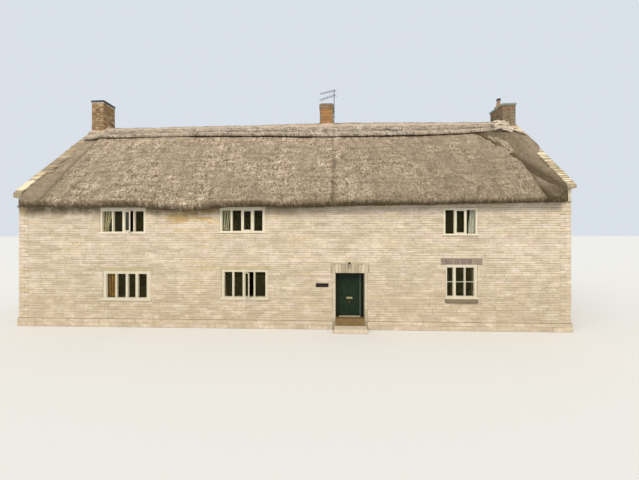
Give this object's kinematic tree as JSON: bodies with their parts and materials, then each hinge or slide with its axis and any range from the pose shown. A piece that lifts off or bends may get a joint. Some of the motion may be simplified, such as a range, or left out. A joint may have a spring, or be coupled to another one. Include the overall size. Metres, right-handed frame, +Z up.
{
  "type": "thatched cottage",
  "caption": "Long two-storey stone cottage with a steep thatched roof between coped gables, chimney stacks, mullioned casement windows and a panelled front door that opens.",
  "frame": {"origin": "ground level in the middle of the plan, on the underside of the ground floor", "axes": "+X along the front towards the right-hand gable as seen from the front, +Y from the front to the rear, +Z up"},
  "size_m": [23.94, 8.34, 11.96],
  "materials": {
    "wall_stone": "coursed lias blocks in lime mortar, cream to grey with some golden stones",
    "coping_stone": "weathered golden limestone, rough split",
    "flagstone": "worn pale flagstone",
    "threshold_stone": "brown worn stone block",
    "floor_board": "old wide boards",
    "thatch": "weathered grey-brown reed and straw",
    "stack_slab": "thin weathered slab, grey with lichen",
    "brick": "old orange-brown brick in lime mortar",
    "clay": "terracotta",
    "aerial_steel": "dull drawn tube",
    "painted_timber": "cream gloss paint, slightly worn",
    "glass": "clear window glass",
    "curtain_cloth": "plain woven cotton",
    "door_paint": "very dark green gloss paint",
    "brass": "polished, slightly dulled",
    "dark_timber": "dark stained board, bare",
    "black_iron": "black painted iron"
  },
  "bodies": {
    "house": {"front_wall_left": "wall_stone", "front_wall_right": "wall_stone", "front_wall_over_door": "wall_stone", "rear_wall": "wall_stone", "left_gable_wall": "wall_stone", "right_gable_wall": "wall_stone", "left_coping": "coping_stone", "right_coping": "coping_stone", "ground_floor": "flagstone", "upper_floor": "floor_board", "thatch_front_slope": "thatch", "thatch_rear_slope": "thatch", "thatch_ridge_cap": "thatch", "left_chimney": "coping_stone", "left_chimney_cap": "stack_slab", "middle_chimney": "brick", "right_chimney": "brick", "right_chimney_cap": "stack_slab", "right_chimney_pot": "clay", "tv_aerial": "aerial_steel", "upper_left_window_frame": "painted_timber", "upper_left_window_glass": "glass", "upper_left_open_casement": "painted_timber", "upper_left_curtain": "curtain_cloth", "rear_upper_left_window_frame": "painted_timber", "upper_middle_window_frame": "painted_timber", "upper_middle_window_glass": "glass", "upper_middle_curtain": "curtain_cloth", "rear_upper_middle_window_frame": "painted_timber", "upper_right_window_frame": "painted_timber", "upper_right_window_glass": "glass", "upper_right_curtain": "curtain_cloth", "rear_upper_right_window_frame": "painted_timber", "lower_left_window_frame": "painted_timber", "lower_left_window_glass": "glass", "lower_left_curtain": "curtain_cloth", "rear_lower_left_window_frame": "painted_timber", "lower_middle_window_frame": "painted_timber", "lower_middle_window_glass": "glass", "lower_middle_open_casement": "painted_timber", "rear_lower_middle_window_frame": "painted_timber", "lower_right_window_frame": "painted_timber", "lower_right_window_glass": "glass", "rear_lower_right_window_frame": "painted_timber", "rear_upper_glass": "glass", "rear_lower_glass": "glass", "front_door_frame": "door_paint", "door_threshold": "threshold_stone", "lower_step": "flagstone", "name_board": "dark_timber", "door_lamp": "black_iron"},
    "front_door": {"front_door": "door_paint", "letter_plate": "brass", "door_knob": "brass"}
  },
  "joints": [
    {"name": "front_door_hinge", "type": "hinge", "parent": "house", "child": "front_door", "pos_m": [2.2825, -3.242, 1.385], "axis": [0, 0, 1], "range_deg": [0, 95]}
  ]
}
